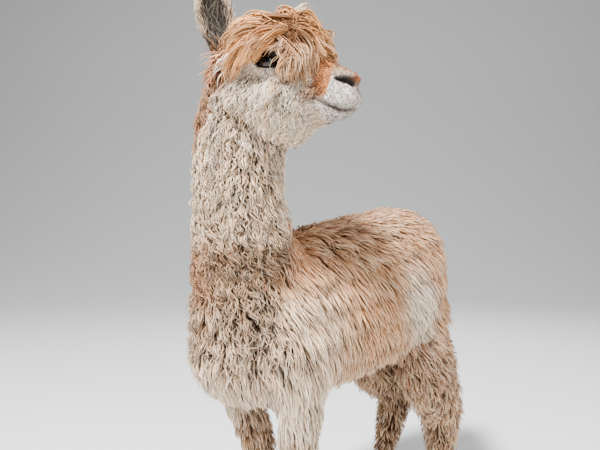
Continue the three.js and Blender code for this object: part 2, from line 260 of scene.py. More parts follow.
# Centre and half sizes of the nose's tip, the two halves of the upper lip and the chin.
soft_parts = [((0.144, 0, -0.037), (0.025, 0.031, 0.020)), ((0.134, 0.011, -0.072), (0.037, 0.023, 0.027)),
              ((0.134, -0.011, -0.072), (0.037, 0.023, 0.027)), ((0.123, 0, -0.098), (0.030, 0.024, 0.015))]
head, head_faces = run_together(
    [loft(middle, ACROSS @ HEAD_AXES.T, (0, 0, 1.0), SKULL[:, 3], (SKULL[:, 1] - SKULL[:, 2]) / 2, SKULL[:, 4])]
    + [ellipsoid(centre, np.eye(3), sizes) for centre, sizes in soft_parts], FACE_STEP)
head = relax(head, head_faces, 14)
NOSTRIL = [(0.129, 0.028, -0.038), (0.145, 0.029, -0.041), (0.158, 0.024, -0.043), (0.166, 0.017, -0.048)]
WING = [(0.122, 0.028, -0.028), (0.134, 0.031, -0.022), (0.148, 0.028, -0.020), (0.162, 0.022, -0.025),
        (0.171, 0.012, -0.036)]
MOUTH = [(0.094, 0.041, -0.074), (0.118, 0.031, -0.089), (0.139, 0.024, -0.097), (0.157, 0.015, -0.098),
         (0.169, 0, -0.095)]
UPPER_LIP = [(0.108, 0.036, -0.075), (0.134, 0.028, -0.087), (0.155, 0.018, -0.089), (0.172, 0, -0.084)]
LOWER_LIP = [(0.118, 0.028, -0.100), (0.139, 0.020, -0.107), (0.155, 0.010, -0.106), (0.160, 0, -0.104)]
BROW = [(-0.03, 0.058, 0.022), (0.0, 0.06, 0.027), (0.03, 0.052, 0.02)]
EYE = np.array((0.0, 0.048, 0.002))
EYE_RADIUS = 0.021


def mirrored(local):
    """Head points folded on to the head's left side."""
    return local * (1, 0, 1) + np.abs(local) * (0, 1, 0)


def face_depth(local):
    """How far the tips of the face's fur stand above its hide."""
    a, _, c = local.T
    back = 1 - smooth(a, -0.05, 0.09)
    return 0.0015 + 0.0015 * (1 - smooth(a, 0.1, 0.14)) + 0.006 * back * (1 - smooth(c, -0.03, 0.02)) + 0.003 * back


def opening(local):
    """1 along the edge of the eyelids, less inside it: an almond that droops a little towards the nose."""
    a, _, c = local.T
    c = c - EYE[2] + 0.12 * a
    return np.sqrt((a / 0.0235) ** 2 + (c / (0.0145 - 0.002 * smooth(-c, 0, 0.01))) ** 2)


def near_cleft(local, path, depth=0.014):
    """Distance from a path on the face, or from the cleft that runs inwards from it."""
    path = np.asarray(path, float)
    inward = -unit(path * (1, 1, 0) - (0.12, 0, 0))
    return np.min([near_path(local, path + inward * step) for step in np.linspace(0, depth, 5)], axis=0)


def nostril(local):
    """1 along the edge of the nostril, less inside it: a slit that widens and bends down towards the front."""
    return near_cleft(local, NOSTRIL) / np.interp(local[:, 0], (0.127, 0.145, 0.162), (0.0024, 0.0066, 0.0074))


def fold(local, path, height, width):
    """A rounded fold along a path on the face: its height times a bell curve of the distance to the path."""
    return height * np.exp(-(near_path(local, path) / width) ** 2)


local = mirrored(head)
ahead, above = local[:, 0], local[:, 2]
relief = -face_depth(local)
relief -= 0.012 * np.exp(-nostril(local) ** 4) * smooth(ahead, 0.122, 0.136)
relief += fold(local, WING, 0.0040, 0.0065)
relief -= fold(local, MOUTH, 0.0058, 0.0033)
relief += fold(local, UPPER_LIP, 0.0022, 0.0080)
relief += fold(local, LOWER_LIP, 0.0014, 0.0050)
relief -= 0.0030 * np.exp(-(local[:, 1] / 0.0024) ** 2) * smooth(ahead, 0.14, 0.155) * smooth(above, -0.1, -0.09)
relief += fold(local, BROW, 0.0040, 0.008)
head = head + normals(head, head_faces) * relief[:, None]
local = mirrored(head)
edge, flat = opening(local), np.linalg.norm((local - EYE)[:, [0, 2]], axis=1)
LID_RADIUS, SOCKET_GAP = EYE_RADIUS + 0.0026, 0.007
lid = EYE[1] + np.sqrt(np.maximum(LID_RADIUS**2 - flat**2, 0))
pocket = EYE[1] + np.sqrt(np.maximum(EYE_RADIUS**2 - flat**2, 0)) - SOCKET_GAP
target = np.where(edge < 1, pocket, np.where(flat < LID_RADIUS, lid, local[:, 1]))
share = (1 - smooth(edge, 1.25, 1.75)) * (local[:, 1] > 0.03)
head[:, 1] += np.sign(head[:, 1]) * (target - local[:, 1]) * share
head = relax(head, head_faces, 1, 0.4)

# ---- Ears -----------------------------------------------------------------------------------------------------
# Two spear-shaped ears of thin skin over gristle, scooped out in front and rooted in the back of the skull. Each
# is a crescent carried along its own line, and is grown into the hide with the head.

EARS = {  # root and tip on the head, and the direction the ear opens to
    "right": ((-0.110, -0.044, 0.010), (-0.119, -0.086, 0.184), (0.42, -0.9, 0.1)),
    "left": ((-0.072, 0.044, 0.040), (-0.012, 0.132, 0.190), (0.5, 0.8, -0.3)),
}


def ear_axes(side):
    """An ear's root, its line to the tip, the direction it opens to and the direction across it, on the head."""
    root, tip, open_to = [np.array(value) for value in EARS[side]]
    axis = tip - root
    open_to = unit(open_to - axis * dot(open_to, axis) / dot(axis, axis))
    return root, axis, open_to, unit(np.cross(axis, open_to))


def ear(side):
    """A crescent carried along the ear's line: the half width times a cosine across it, and less the bulge times a
    sine towards the open side, with the inner arc shallower than the outer by the ear's thickness."""
    root, axis, open_to, across = ear_axes(side)
    share, wide, bulge, thick, lean = through([
        (-0.10, 0.010, 0.010, 0.010, 0.000), (0.06, 0.014, 0.017, 0.009, 0.002), (0.30, 0.024, 0.019, 0.005, 0.002),
        (0.50, 0.031, 0.016, 0.004, -0.001), (0.70, 0.029, 0.012, 0.0035, -0.001), (0.86, 0.017, 0.008, 0.003, 0.002),
        (0.95, 0.006, 0.004, 0.003, 0.005), (0.975, 0.001, 0.001, 0.001, 0.006)], 60).T[:, :, None]
    angle = np.linspace(0, 2 * math.pi, 40, endpoint=False)[None]
    arc = np.where(angle < math.pi, bulge, thick - bulge) * np.sin(angle)
    rings = (root + axis * share[..., None] + across * (wide * np.cos(angle))[..., None]
             + open_to * (lean + 0.006 - arc)[..., None])
    points = np.vstack([rings.reshape(-1, 3), rings[0].mean(axis=0), rings[-1].mean(axis=0)])
    faces = closed_tube(*rings.shape[:2])
    a, b, c = points[faces[:, 0]], points[faces[:, 1]], points[faces[:, 2]]
    return points, faces if dot(a, np.cross(b, c)).sum() > 0 else faces[:, ::-1]


# ---- Skin -----------------------------------------------------------------------------------------------------
# The carcass, head and ears grown into one closed hide, which stands for every solid of flesh. Its markings are
# the coat's own: cream head, neck and shoulders, fawn back, brown lower neck and shanks, orange crown and nose, with
# painted shade laid over them on the face, behind the neck's base, inside the right ear and wherever wool covers it.


def srgb(red, green, blue):
    """A colour given as on a screen, 0 to 255, in linear light."""
    value = np.array((red, green, blue)) / 255
    return np.where(value <= 0.04045, value / 12.92, ((value + 0.055) / 1.055) ** 2.4)


CREAM, WHITE, FAWN, ROSE = srgb(240, 214, 184), srgb(250, 238, 222), srgb(206, 150, 94), srgb(197, 134, 86)
BROWN, UMBER, ORANGE, GREY = srgb(146, 94, 51), srgb(94, 58, 38), srgb(206, 136, 63), srgb(112, 104, 98)
SILVER, INK, TAN, SORREL = srgb(202, 191, 181), srgb(18, 13, 12), srgb(211, 169, 120), srgb(166, 98, 46)


def blend(colour, other, share):
    """Colours mixed with another by a share for each point."""
    return colour + (other - colour) * np.clip(share, 0, 1)[:, None]


def woolly(points):
    """1 where long wool covers the skin, 0 on the short-furred face and feet."""
    a, _, c = head_frame(points).T
    r = regions(points)
    return (1 - r["foot"]) * (1 - r["head"] * np.maximum(smooth(a, 0.02, 0.09), smooth(c, -0.045, -0.015)))


def crest_facing(points):
    """1 where a point of the neck faces its crest and -1 where it faces the throat: the cosine of the angle between
    the crest's direction at that height and the point's own from the neck's line."""
    x, y, z = (points + ORIGIN).T
    axis_x = np.interp(z, (0.56, 0.85, 1.03, 1.16), (0.0, 0.011, 0.031, 0.042))
    axis_y = np.interp(z, (0.56, 0.85, 1.03, 1.16), (-0.25, -0.371, -0.396, -0.39))
    crest = np.radians(np.interp(z, (0.86, 0.95, 1.05, 1.2), (90, 130, 172, 200)))
    away = unit(np.stack([x - axis_x, y - axis_y], axis=1))
    return away @ np.array((1.0, 0.0)) * np.cos(crest) + away @ np.array((0.0, 1.0)) * np.sin(crest)


def sway(points, size, seed):
    """Soft noise about 0 with lumps of the given size: the mean of nine sine waves in different directions."""
    rng = np.random.default_rng(seed)
    waves = unit(rng.normal(size=(9, 3))) * rng.uniform(0.7, 1.5, (9, 1)) * (2 * math.pi / size)
    return np.sin(points @ waves.T + rng.uniform(0, 6.28, 9)).mean(axis=1) * 1.8


def patch(u, v, centre, size, power=1):
    """An oval patch: a bell curve of the distance from its centre in half sizes, firmer at its edge as the power
    rises."""
    return np.exp(-(((u - centre[0]) / size[0]) ** 2 + ((v - centre[1]) / size[1]) ** 2) ** power)


def layered(colour, *layers):
    """A colour with others laid over it one after another, each with a share for every point."""
    for other, share in layers:
        colour = blend(colour, other, share)
    return colour


def neck_colour(points):
    """Cream and silver wool, brown below with a rusty patch on the chest, and a crest of rust and brown."""
    x, _, z = (points + ORIGIN).T
    low = (1 - smooth(z, 0.85, 0.89)) * smooth(z, 0.56, 0.70) * (0.75 + 0.25 * smooth(sway(points, 0.07, 4), -0.4, 0.4))
    crest = smooth(crest_facing(points) + 0.4 * smooth(z, 1.04, 1.1), 0.4, 0.75) * smooth(z, 0.86, 0.98)
    return layered(
        CREAM, (SILVER, smooth(sway(points, 0.07, 3), 0, 0.6) * 0.5), (BROWN * 0.38 + TAN * 0.24, low * 0.95),
        (SORREL, patch(x, z, (-0.01, 0.80), (0.05, 0.08)) * 0.7),
        (blend(SORREL, BROWN, smooth(sway(points, 0.06, 7), -0.5, 0.4)), crest * 0.95))


def face_colour(points):
    """White and cream fur with grey on the cheek, partly its own and partly painted shade under the topknot, rust on
    the nape and bridge of the nose, an orange crown, silver round the muzzle, near black along the eyelids, and painted
    shade in the nostrils, round them and in the crease of the mouth."""
    a, b, c = head_frame(points).T
    local = mirrored(head_frame(points))
    bridge = np.interp(a, (0.080, 0.088, 0.112, 0.118, 0.124, 0.130, 0.17),
                       (-0.050, -0.072, -0.072, -0.052, -0.032, -0.016, -0.020))
    off_mouth_crease = near_cleft(local, MOUTH, 0.006) / np.interp(a, (0.1, 0.15), (0.0030, 0.0048))
    nose_tip = smooth(a, 0.13, 0.145) * (1 - smooth(np.abs(b), 0.013, 0.021)) * smooth(c, -0.05, -0.038)
    over_nostril = smooth(a, 0.116, 0.128) * smooth(c, -0.036, -0.028) * smooth(np.abs(b), 0.009, 0.018)
    between = smooth(a, 0.158, 0.166) * smooth(c, -0.062, -0.050) * (1 - smooth(np.abs(b), 0.014, 0.022))
    return layered(
        CREAM, (WHITE, smooth(sway(points, 0.05, 6), -0.5, 0.3) * 0.9),
        # Grey left of and below the eye: the fur's own grey with painted shade from the topknot laid over it.
        (GREY * 0.55, patch(a, c, (-0.038, -0.034), (0.030, 0.024)) * 0.85),
        (GREY * 0.7, patch(a, c, (0.040, -0.045), (0.016, 0.026)) * 0.75),
        (SORREL, smooth(-a, 0.07, 0.095) * 0.95),
        (SORREL, smooth(c - bridge, -0.003, 0.006) * smooth(a, 0.081, 0.096)),
        (ORANGE * 0.85, smooth(c, 0.018, 0.034)),
        (BROWN * 0.7, patch(a, c, (0.082, -0.060), (0.023, 0.012), 2) * 0.95),
        (SILVER * 0.88, smooth(a, 0.09, 0.115) * (1 - smooth(c - bridge, -0.01, 0.0)) * 0.9),
        (SORREL, nose_tip), (TAN * 0.42, over_nostril * 0.85), (SORREL * 0.8, between * 0.7),
        # Painted shade: the nostrils' hollows near black with dark brown round their edge, and a dark band in the
        # mouth's crease.
        (UMBER, np.exp(-(nostril(local) / 1.5) ** 4) * 0.7), (INK, np.exp(-(nostril(local) / 1.05) ** 6)),
        (UMBER * 0.3, np.exp(-off_mouth_crease**2)),
        (INK, (1 - smooth(opening(local), 1.15, 1.45)) * (local[:, 1] > 0.03)))


def markings(points):
    """The coat's colour at each point of the skin, in linear light, with painted shade on the face, behind the neck's
    base and inside the right ear.
    """
    r = regions(points)
    x, y, z = (points + ORIGIN).T
    thigh = patch(y - 0.082 - 0.3 * (0.64 - z), z, (0, 0.684), (0.076, 0.108), 2) * smooth(np.abs(x), 0.1, 0.14)
    shank = layered(
        BROWN, (TAN, smooth(sway(points, 0.06, 5), -0.2, 0.5)),
        (CREAM, smooth(-y, 0.1, 0.2) * smooth(x, -0.02, 0.02) * 0.25), (TAN * 0.8, r["foot"] * 0.7))
    colour = layered(
        FAWN, (ROSE, 0.5 + 0.5 * sway(points, 0.16, 1)), (TAN, smooth(sway(points, 0.09, 2), -0.1, 0.6) * 0.7),
        (CREAM, smooth(0.62 - z, 0, 0.12) * 0.5),
        (CREAM, smooth(-y, 0.17, 0.27) * (1 - smooth(z, 0.72, 0.8)) * 0.9),
        (WHITE, smooth(-y, 0.2, 0.3) * (1 - smooth(z, 0.5, 0.66)) * 0.6), (WHITE, thigh),
        (BROWN, smooth(0.605 - z, 0, 0.05) * smooth(y, 0.02, 0.08) * 0.7),
        # Rust behind the neck's base: the back's own colour, darkened by a painted shadow of the neck.
        (SORREL, smooth(z, 0.74, 0.8) * smooth(-y, 0.2, 0.27) * 0.45),
        (ROSE * 0.75, smooth(z, 0.77, 0.88) * (0.45 + 0.4 * sway(points, 0.08, 9))),
        (neck_colour(points), r["collar"]), (shank, r["shank"]), (face_colour(points), r["head"]))
    # Ears grey inside: their own grey, and on the right ear painted shade as well, so it is far darker than the left.
    for side, inside_grey_and_shade in (("right", 0.97), ("left", 0.3)):
        share, reach, facing = on_ear(points, side)
        ear_fur = blend(CREAM, GREY * 0.3, smooth(facing, -0.001, 0.001) * inside_grey_and_shade)
        colour = blend(colour, ear_fur, smooth(share, 0.1, 0.2) * (1 - smooth(reach, 0.036, 0.045)))
    return colour


def on_ear(points, side):
    """For an ear: the share of its length, the distance from its line, and how far a point is to its open side from
    the middle of its gristle."""
    root, axis, open_to, across = ear_axes(side)
    away = head_frame(points) - root
    share = dot(away, axis) / dot(axis, axis)
    wide, bulge, lean = [np.interp(share, (0.06, 0.3, 0.5, 0.7, 0.86, 0.97), sizes) for sizes in (
        (0.014, 0.024, 0.031, 0.029, 0.017, 0.004), (0.0125, 0.0165, 0.014, 0.0102, 0.0065, 0.001),
        (0.008, 0.008, 0.005, 0.005, 0.008, 0.012))]
    middle = lean - bulge * np.sqrt(np.maximum(1 - (dot(away, across) / wide) ** 2, 0))
    return share, np.linalg.norm(away - share[:, None] * axis, axis=1), dot(away, open_to) - middle


LEG_LINES = {  # height, across and along of each leg's line, from the floor up
    "foreleg_left": [(0, 0.092, -0.3), (0.15, 0.092, -0.284), (0.33, 0.096, -0.286), (0.56, 0.119, -0.3)],
    "foreleg_right": [(0, -0.08, -0.256), (0.15, -0.08, -0.249), (0.33, -0.084, -0.242), (0.56, -0.119, -0.3)],
    "hindleg_left": [(0, 0.103, 0.27), (0.17, 0.104, 0.288), (0.33, 0.11, 0.298), (0.48, 0.119, 0.192)],
    "hindleg_right": [(0, -0.079, 0.24), (0.17, -0.08, 0.27), (0.33, -0.086, 0.346), (0.48, -0.112, 0.217)],
}
TILES = {  # corner and size of each part's tile on the flat map
    "trunk": ((0.0, 0.0), (0.6, 0.6)), "neck": ((0.62, 0.0), (0.37, 0.38)), "head": ((0.62, 0.4), (0.37, 0.38)),
    "ear_right": ((0.62, 0.81), (0.08, 0.17)), "ear_left": ((0.71, 0.81), (0.08, 0.17)),
    "tail": ((0.8, 0.81), (0.15, 0.17)),
    **{leg: ((0.15 * number, 0.62), (0.14, 0.36)) for number, leg in enumerate(LEG_LINES)},
}


def rolled(part, points):
    """Each point's share of the way along a part's line, and its angle round that line."""
    x, y, z = (points + ORIGIN).T
    if part == "trunk":
        return (y + 0.48) / 0.9, np.arctan2(x, z - 0.68)
    if part == "neck":
        return (z - 0.62) / 0.64, np.arctan2(x - 0.03, y + 0.36)
    if part == "tail":
        return (z - 0.62) / 0.26, np.arctan2(x, y - 0.37)
    if part in LEG_LINES:
        heights, across, along = np.array(LEG_LINES[part]).T
        return z / 0.5, np.arctan2(x - np.interp(z, heights, across), y - np.interp(z, heights, along))
    local = head_frame(points)
    if part == "head":
        return (local[:, 0] + 0.16) / 0.35, np.arctan2(local[:, 1], local[:, 2] + 0.04)
    root, axis, open_to, across = ear_axes(part.split("_")[1])
    away = local - root
    return dot(away, axis) / dot(axis, axis), np.arctan2(dot(away, across), dot(away, open_to) - 0.002)


def unwrap(points, centres):
    """Each point's place on a flat map of the skin: every part is slit along its underside or back and rolled out
    on a tile of its own. `centres` are the middles of the faces or tufts the points belong to, so that none is
    torn across a slit."""
    x, y, _ = (centres + ORIGIN).T
    r = regions(centres)
    order = list(TILES)
    tile = np.zeros(len(centres), int)
    tile[r["neck"] > 0.5] = order.index("neck")
    tile[r["head"] > 0.5] = order.index("head")
    for side in EARS:
        share, reach, _ = on_ear(centres, side)
        tile[(share > 0.15) & (reach < 0.042)] = order.index("ear_" + side)
    tile[r["tail"] > 0.5] = order.index("tail")
    leg = r["shank"] > 0.5
    tile[leg] = order.index("foreleg_left") + (x[leg] < 0) + 2 * (y[leg] > 0)
    out = np.empty((len(points), 2))
    for number, (part, (corner, size)) in enumerate(TILES.items()):
        chosen = tile == number
        along, angle = rolled(part, points[chosen])
        _, middle = rolled(part, centres[chosen])
        angle = middle + (angle - middle + math.pi) % (2 * math.pi) - math.pi
        out[chosen, 0] = corner[0] + size[0] * np.clip(0.02 + 0.96 * along, 0, 1)
        out[chosen, 1] = corner[1] + size[1] * np.clip(0.5 + 0.96 * angle / (2 * math.pi), 0, 1)
    return out


def stain(piece, layer, colours):
    """Gives a mesh a colour at each point, in a layer of the given name."""
    attribute = piece.data.attributes.new(layer, "FLOAT_COLOR", "POINT")
    attribute.data.foreach_set("color", np.column_stack([colours, np.ones(len(colours))]).astype(np.float32).ravel())


def paint(piece, colours, uv):
    """Gives a mesh its coat's colour at each point and its flat map at each corner of its faces."""
    stain(piece, "Coat", colours)
    piece.data.uv_layers.new(name="OFBake").data.foreach_set("uv", uv.astype(np.float32).ravel())


def node(tree, kind, values=(), **settings):
    """A shader node with its settings and its input constants or links."""
    made = tree.nodes.new(kind)
    for key, value in settings.items():
        setattr(made, key, value)
    for key, value in dict(values).items():
        if isinstance(value, bpy.types.NodeSocket):
            tree.links.new(value, made.inputs[key])
        else:
            made.inputs[key].default_value = value
    return made


def fur(name, grain, depth, contrast, roughness):
    """Fur or wool: the coat's own colour, broken up by a fine noise of the given grain per metre, which also
    roughens its surface by `depth` metres."""
    material = bpy.data.materials.new(name)
    material.use_nodes = True
    tree = material.node_tree
    position = node(tree, "ShaderNodeTexCoord").outputs["Object"]
    colour = node(tree, "ShaderNodeAttribute", attribute_name="Coat").outputs["Color"]
    fine = node(tree, "ShaderNodeTexNoise", {"Vector": position, "Scale": grain, "Detail": 3.0, "Roughness": 0.6})
    level = node(tree, "ShaderNodeMapRange", {
        "Value": fine.outputs["Fac"], "From Min": 0.3, "From Max": 0.7, "To Min": 1 - contrast, "To Max": 1 + contrast})
    mixed = node(tree, "ShaderNodeVectorMath", {0: colour, 1: level.outputs["Result"]}, operation="MULTIPLY")
    bump = node(tree, "ShaderNodeBump", {"Strength": 0.6, "Distance": depth, "Height": fine.outputs["Fac"]})
    shader = tree.nodes["Principled BSDF"]
    tree.links.new(mixed.outputs["Vector"], shader.inputs["Base Color"])
    tree.links.new(bump.outputs["Normal"], shader.inputs["Normal"])
    shader.inputs["Roughness"].default_value = roughness
    shader.inputs["Specular IOR Level"].default_value = 0.25
    shader.inputs["Sheen Weight"].default_value = 0.03
    shader.inputs["Sheen Roughness"].default_value = 0.4
    return material


skin = new_mesh("skin", carcass, carcass_faces)
parts = [new_mesh("part", on_head(head), head_faces)]
parts += [new_mesh("part", on_head(points), faces) for points, faces in (ear("right"), ear("left"))]
for part in parts:
    grown = skin.modifiers.new("grown", "BOOLEAN")
    grown.operation, grown.solver, grown.object = "UNION", "MANIFOLD", part
hide, hide_faces = arrays(skin)
for piece in [skin] + parts:
    bpy.data.objects.remove(piece)
hide_out = normals(hide, hide_faces)
middles = hide[hide_faces].mean(axis=1)
skin = new_mesh("skin", hide, hide_faces)
stubble = np.random.default_rng(8).uniform(0, 1, len(hide)) * (0.3 + 0.6 * smooth(head_frame(hide)[:, 0], 0.09, 0.12))
# Painted shade: the skin darkened where wool covers it, as deep between the locks. The face's stubble is a real dark
# speckle.
painted_shade_and_stubble = np.maximum(0.7 * woolly(hide), stubble * regions(hide)["head"])  # the skin is darker deep in the coat
paint(skin, markings(hide) * (1 - painted_shade_and_stubble)[:, None],
      unwrap(hide[hide_faces].reshape(-1, 3), np.repeat(middles, 3, axis=0)))
skin.data.materials.append(fur("hide", 420.0, 0.0014, 0.4, 0.75))
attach(skin, "root")
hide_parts(*[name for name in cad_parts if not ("nail" in name or "eye" in name or name == "topknot")])

# ---- Fleece ---------------------------------------------------------------------------------------------------
# Wool and hair in thousands of thin pointed locks rooted in the skin: long, sleek and parallel on the back and
# flanks, small ringlets on the neck, straight and hanging on the chest, shaggy on the shanks, short on the face.

corners = hide[hide_faces]
face_area = np.linalg.norm(np.cross(corners[:, 1] - corners[:, 0], corners[:, 2] - corners[:, 0]), axis=1) / 2
steps = np.vstack([hide_faces[:, [0, 1]], hide_faces[:, [1, 2]], hide_faces[:, [2, 0]]])
step, change = hide[steps[:, 1]] - hide[steps[:, 0]], hide_out[steps[:, 1]] - hide_out[steps[:, 0]]


def gathered(first, second):
    """For each point of the skin, the sum over its edges of the outer product of two edge vectors."""
    return np.stack([np.bincount(steps[:, 0], first[:, i] * second[:, j], len(hide))
                     for i in range(3) for j in range(3)], axis=1).reshape(-1, 3, 3)


spread = gathered(step, step) + np.eye(3) * 1e-7
turning = gathered(change, step) @ np.linalg.inv(spread)  # how the skin's outward direction turns with place


def roots(chance, count, seed):
    """Places over the skin, picked evenly by area times `chance` per face: points, outward directions and the
    turning of the skin there."""
    rng = np.random.default_rng(seed)
    total = np.cumsum(face_area * chance)
    picked = np.searchsorted(total, (np.arange(count) + rng.uniform(0, 1, count)) / count * total[-1])
    picked = np.minimum(picked, len(hide_faces) - 1)
    u, v = rng.uniform(0, 1, (2, count))
    u, v = np.where(u + v > 1, 1 - u, u), np.where(u + v > 1, 1 - v, v)
    share = np.stack([1 - u - v, u, v], axis=1)
    corner = hide_faces[picked]
    point, outward = [dot(value[corner].transpose(0, 2, 1), share[:, None]) for value in (hide, hide_out)]
    return point, unit(outward), turning[corner].mean(axis=1), rng


def on_ear_skin(points, side):
    """1 on the skin of an ear and 0 below its root and away from it."""
    share, reach, _ = on_ear(points, side)
    return smooth(share, 0.08, 0.16) * (1 - smooth(reach, 0.036, 0.045))


def lie(points):
    """The direction in which the coat lies: down and back on the body, down the neck and legs, back and down over
    the face, and along the ears."""
    r = regions(points)
    x, y, z = (points + ORIGIN).T
    flow = np.stack([np.clip(x / 0.05, -1, 1) * 0.35 * smooth(z, 0.8, 0.9),
                     0.25 + 0.35 * smooth(y, -0.2, 0.0) - 0.3 * smooth(y, 0.2, 0.35), np.full(len(x), -0.9)], axis=1)
    return layered(
        flow, (-UP, np.maximum(r["neck"], r["shank"])), (-FORWARD * 0.42 - UP * 0.9, r["head"]),
        (-FORWARD * 1.0 - UP * 0.25, r["head"] * smooth(head_frame(points)[:, 0], 0.06, 0.11)),
        *[(unit(ear_axes(side)[1] @ HEAD_AXES), on_ear_skin(points, side)) for side in EARS])


def style(points):
    """Each lock's length, width, curl radius and turns, how far it stands out, how loosely it lies, how much its
    shade varies and how firmly it gathers to its chief, by its place."""
    r = regions(points)
    _, y, z = (points + ORIGIN).T
    a, _, c = head_frame(points).T
    table = {"length": 0.066, "width": 0.0060, "curl": 0.0016, "turns": 1.6, "stand": 1.0, "loose": 0.10,
             "vary": 0.75, "clump": 0.35}
    values = {key: np.full(len(points), value) for key, value in table.items()}

    def towards(share, **aims):
        for key, aim in aims.items():
            values[key] += (aim - values[key]) * share

    towards(smooth(z, 0.78, 0.86), length=0.058, curl=0.0034, turns=1.6, stand=1.25, loose=0.26)
    towards(smooth(-y, 0.2, 0.3), length=0.07, curl=0.0022, turns=1.8, loose=0.16)
    towards(r["collar"], length=0.050, width=0.0060, curl=0.0086, turns=1.7, stand=1.5, loose=0.55, vary=1.05,
            clump=0.68)
    towards(r["neck"] * smooth(z, 0.88, 0.96), length=0.038, width=0.0050, curl=0.0056, loose=0.45)
    towards(r["shank"], length=0.042, width=0.0056, curl=0.0034, turns=1.0, stand=1.1, loose=0.35)
    towards(np.maximum(r["shank"], smooth(0.6 - z, 0, 0.04)) * smooth(y, 0.03, 0.1), length=0.05, width=0.0062,
            curl=0.0045, stand=2.0, loose=0.5)
    towards(r["shank"] * smooth(0.36 - z, 0, 0.2), length=0.03, width=0.0045, stand=1.2, curl=0.002)
    towards(r["foot"], length=0.016, width=0.003, curl=0.0006, stand=1.0, loose=0.2)
    towards(r["tail"], length=0.06, curl=0.003, stand=0.8)
    towards(r["head"], length=0.011, width=0.0020, curl=0.0004, turns=1.0, stand=0.35, loose=0.12, clump=0.2)
    towards(r["head"] * smooth(a, 0.09, 0.12), length=0.005, width=0.0018, curl=0.0, stand=0.25, vary=1.0)
    towards(r["head"] * (1 - smooth(a, 0.045, 0.075)) * (1 - smooth(c, -0.045, -0.025)),
            length=0.050, width=0.0066, curl=0.0074, turns=1.8, stand=1.5, loose=0.14, vary=0.95, clump=0.75)
    for side in EARS:
        towards(on_ear_skin(points, side), length=0.016, width=0.0022, curl=0.0006, turns=1.0, stand=0.25, loose=0.2)
    return values


def spindles(count, rings):
    """The triangles of `count` three-sided spindles, each of so many rings of three points and then its tip."""
    i, j = np.meshgrid(np.arange(rings - 1), np.arange(3), indexing="ij")
    k, top = (j + 1) % 3, rings * 3 - 3
    quads = np.stack([i * 3 + j, i * 3 + k, (i + 1) * 3 + k, (i + 1) * 3 + j], axis=-1).reshape(-1, 4)
    ends = [[top, top + 1, top + 3], [top + 1, top + 2, top + 3], [top + 2, top, top + 3], [0, 2, 1]]
    one = np.vstack([triangles(quads), ends])
    return (one[None] + (np.arange(count) * (rings * 3 + 1))[:, None, None]).reshape(-1, 3)


def corners_round(line, across, outward, half, flatness):
    """The points of spindles: round each point of a lock's line but the last, three corners at its half width,
    drawn in by `flatness` along `outward`, and then the line's last point as the tip."""
    angle = np.radians((90, 210, 330))
    half = half[:, :-1, None]
    ring = (line[:, :-1, None] + across[:, :, None] * (np.cos(angle) * half)[..., None]
            + outward[:, :, None] * (np.sin(angle) * half * flatness)[..., None])
    return np.concatenate([ring.reshape(len(line), -1, 3), line[:, -1:]], axis=1)


def way_up(rings):
    """For each point of a spindle, its share of the way from root to tip."""
    return np.concatenate([np.repeat(np.linspace(0, 1, rings + 1)[:-1], 3), [1.0]])


def locks_piece(name, points, colours, root, rings):
    """Makes a piece of spindles. On the flat map each is a patch of 3 mm round the place of its root."""
    faces = spindles(len(root), rings)
    across = np.concatenate([np.tile((0.0, 0.5, 1.0), rings), [0.5]])
    flat = unwrap(root, root)[:, None] + 0.003 * np.stack([across - 0.5, way_up(rings) - 0.5], axis=1)[None]
    piece = new_mesh(name, points.reshape(-1, 3), faces)
    paint(piece, colours.reshape(-1, 3), flat.reshape(-1, 2)[faces.ravel()])
    piece.data.materials.append(wool)
    return piece


